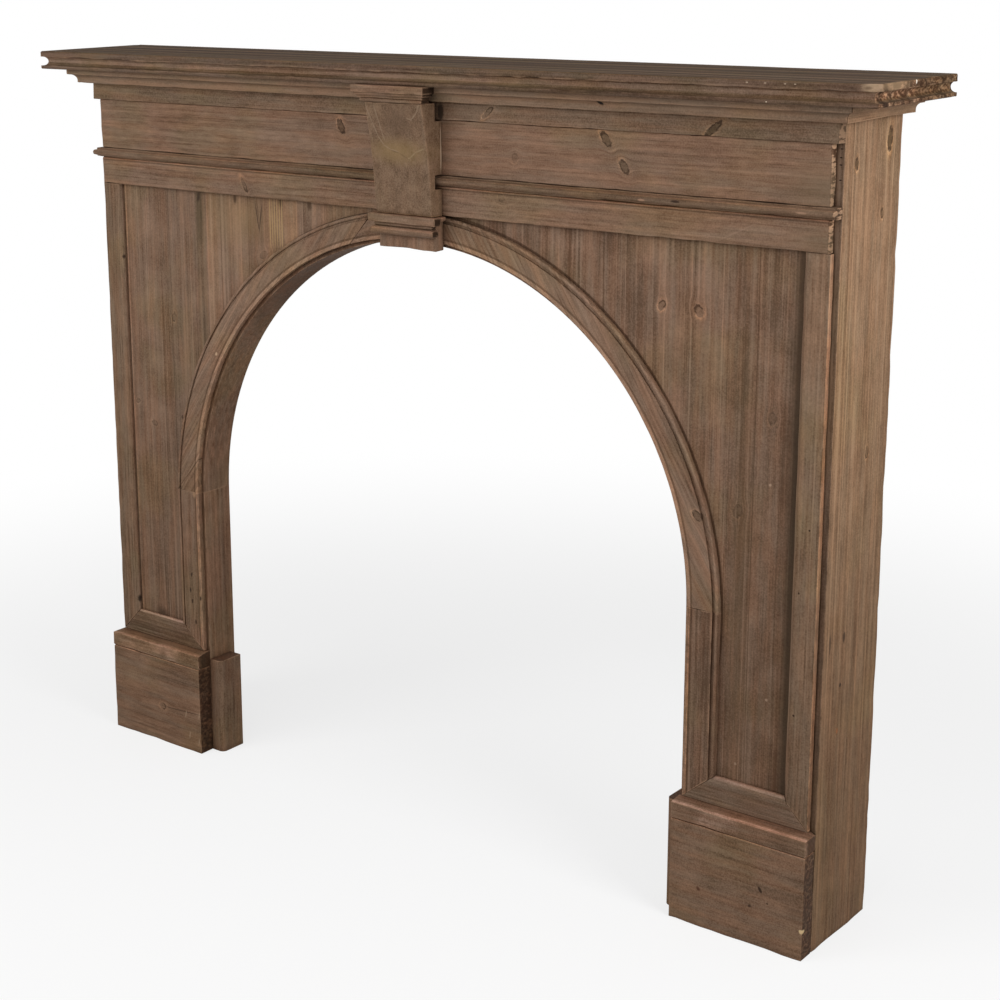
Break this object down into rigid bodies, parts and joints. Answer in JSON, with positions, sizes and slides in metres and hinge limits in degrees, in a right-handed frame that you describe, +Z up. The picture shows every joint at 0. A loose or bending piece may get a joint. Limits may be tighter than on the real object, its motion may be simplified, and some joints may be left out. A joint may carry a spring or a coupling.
{
  "type": "fireplace surround",
  "caption": "Stained pine fireplace surround with an arched opening, panelled legs on plinths, a keystone, a stepped cornice and a moulded mantel shelf.",
  "frame": {"origin": "on the floor, at the middle of the width, midway between the wall and the foremost moulding", "axes": "+X to the right along the wall seen from the room, +Y into the wall, +Z up"},
  "size_m": [1.658, 0.259, 1.313],
  "materials": {
    "shelf_pine": "dark stained and worn, satin",
    "front_pine": "brown stained, grain along the wall",
    "side_pine": "brown stained, warmer, upright grain",
    "panel_pine": "brown stained glued boards, upright grain",
    "frame_pine": "brown stained with worn arrises",
    "arch_pine": "brown stained, grain on the slant",
    "lining_pine": "brown stained, darker",
    "keystone_pine": "brown stained with dark end grain",
    "plinth_pine": "brown stained with knots",
    "bare_pine": "bare sawn pine"
  },
  "bodies": {
    "root": {"mantel_shelf": "shelf_pine", "bed_mould_front": "front_pine", "bed_mould_left": "side_pine", "bed_mould_right": "side_pine", "cornice_fascia": "front_pine", "frieze_board": "front_pine", "astragal": "front_pine", "architrave_rail": "front_pine", "side_board_left": "side_pine", "side_board_right": "side_pine", "panel_left": "panel_pine", "panel_right": "panel_pine", "stile_left": "frame_pine", "stile_right": "frame_pine", "leg_rail_left": "frame_pine", "leg_rail_right": "frame_pine", "jamb_band_left": "frame_pine", "jamb_band_right": "frame_pine", "arch_band_left": "arch_pine", "arch_band_crown": "arch_pine", "arch_band_right": "arch_pine", "jamb_lining_left": "lining_pine", "jamb_lining_right": "lining_pine", "arch_lining_left": "lining_pine", "arch_lining_right": "lining_pine", "plinth_block_left": "plinth_pine", "plinth_block_right": "plinth_pine", "plinth_cap_left": "plinth_pine", "plinth_cap_right": "plinth_pine", "inner_plinth_left": "lining_pine", "inner_plinth_right": "lining_pine", "keystone_body": "keystone_pine", "keystone_cap": "keystone_pine", "keystone_collar": "keystone_pine", "keystone_base": "keystone_pine", "wall_rail": "bare_pine", "shelf_cleat": "bare_pine", "joint_batten": "bare_pine", "corner_blocks_left": "bare_pine", "corner_blocks_right": "bare_pine", "arch_blocks_left": "bare_pine", "arch_blocks_right": "bare_pine", "jamb_cleat_left": "bare_pine", "jamb_cleat_right": "bare_pine", "foot_cleat_left": "bare_pine", "foot_cleat_right": "bare_pine"}
  },
  "joints": []
}
